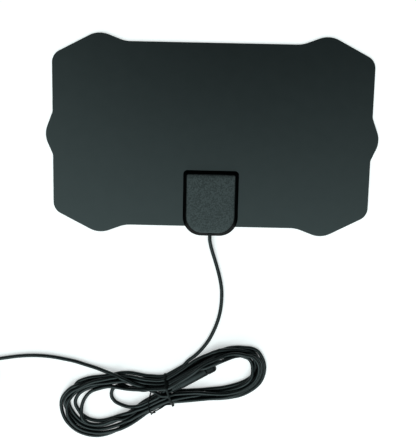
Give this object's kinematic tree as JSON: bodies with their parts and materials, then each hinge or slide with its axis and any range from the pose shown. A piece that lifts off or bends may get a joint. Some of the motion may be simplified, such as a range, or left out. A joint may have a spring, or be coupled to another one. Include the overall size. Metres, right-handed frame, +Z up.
{
  "type": "flat indoor tv antenna",
  "caption": "Flat black laminated indoor television antenna with a moulded amplifier housing, a coaxial lead folded into a tied hank, a capped screw-on plug and a power lead.",
  "frame": {"origin": "on the surface that the antenna lies on, under the middle of the box round its sheet and housing", "axes": "+X to the right along the sheet's long side, +Y towards the sheet's top edge, +Z up off the surface, out of the sheet's front"},
  "size_m": [0.4415, 0.4197, 0.0139],
  "materials": {
    "film_black": "fine-grained matt black sheet",
    "film_back": "smooth satin black sheet",
    "bond": "clear adhesive film",
    "foil": "rolled aluminium foil",
    "brass": "plain brass",
    "shell_black": "spark-eroded matt black moulding",
    "screw_steel": "zinc-plated steel",
    "board_green": "green solder mask on glass laminate",
    "spring_bronze": "phosphor bronze",
    "ferrite": "sintered ferrite",
    "copper_wire": "enamelled copper",
    "tinned": "tinned steel",
    "chip_black": "epoxy moulding",
    "chip_tan": "ceramic capacitor body",
    "solder": "solder",
    "clamp_white": "natural nylon",
    "cord_black": "satin black PVC jacket",
    "braid": "tinned copper braid",
    "dielectric": "foamed polyethylene",
    "tie_black": "plastic-covered wire tie",
    "grip_black": "satin black moulded PVC",
    "nickel": "nickel-plated brass",
    "cap_black": "soft black polyethylene",
    "usb_plastic": "white connector plastic",
    "contact_gold": "gold-plated contact"
  },
  "bodies": {
    "root": {"front_film": "film_black", "rear_film": "film_back", "bond_layer": "bond", "left_foil": "foil", "right_foil": "foil", "feed_rivets": "brass", "front_shell": "shell_black", "rear_cover": "shell_black", "cover_screws": "screw_steel", "circuit_board": "board_green", "board_screws": "screw_steel", "contact_springs": "spring_bronze", "balun_core": "ferrite", "balun_winding": "copper_wire", "shield_can": "tinned", "amplifier_chip": "chip_black", "chip_capacitors": "chip_tan", "chip_inductors": "chip_black", "solder_joints": "solder", "cable_clamp": "clamp_white", "clamp_screws": "screw_steel", "lead_jacket_end": "cord_black", "lead_braid": "braid", "lead_dielectric": "dielectric", "lead_core": "copper_wire", "coax_lead": "cord_black", "cord_hank": "cord_black", "twist_tie": "tie_black", "plug_grip": "grip_black", "plug_board": "board_green", "plug_choke": "ferrite", "plug_barrel": "nickel", "plug_insulator": "dielectric", "plug_pin": "brass", "power_lead": "cord_black", "power_coil": "cord_black", "power_tail": "cord_black", "usb_grip": "grip_black", "usb_shell": "nickel", "usb_tongue": "usb_plastic", "usb_contacts": "contact_gold"},
    "nut": {"plug_nut": "nickel"},
    "cap": {"plug_cap": "cap_black"}
  },
  "joints": [
    {"name": "nut_spin", "type": "hinge", "parent": "root", "child": "nut", "pos_m": [0.00221, -0.23754, 0.006], "axis": [0.8572, 0.515, 0], "continuous": true},
    {"name": "cap_pull", "type": "slide", "parent": "nut", "child": "cap", "axis": [0.8572, 0.515, 0], "range_m": [0, 0.012]}
  ]
}
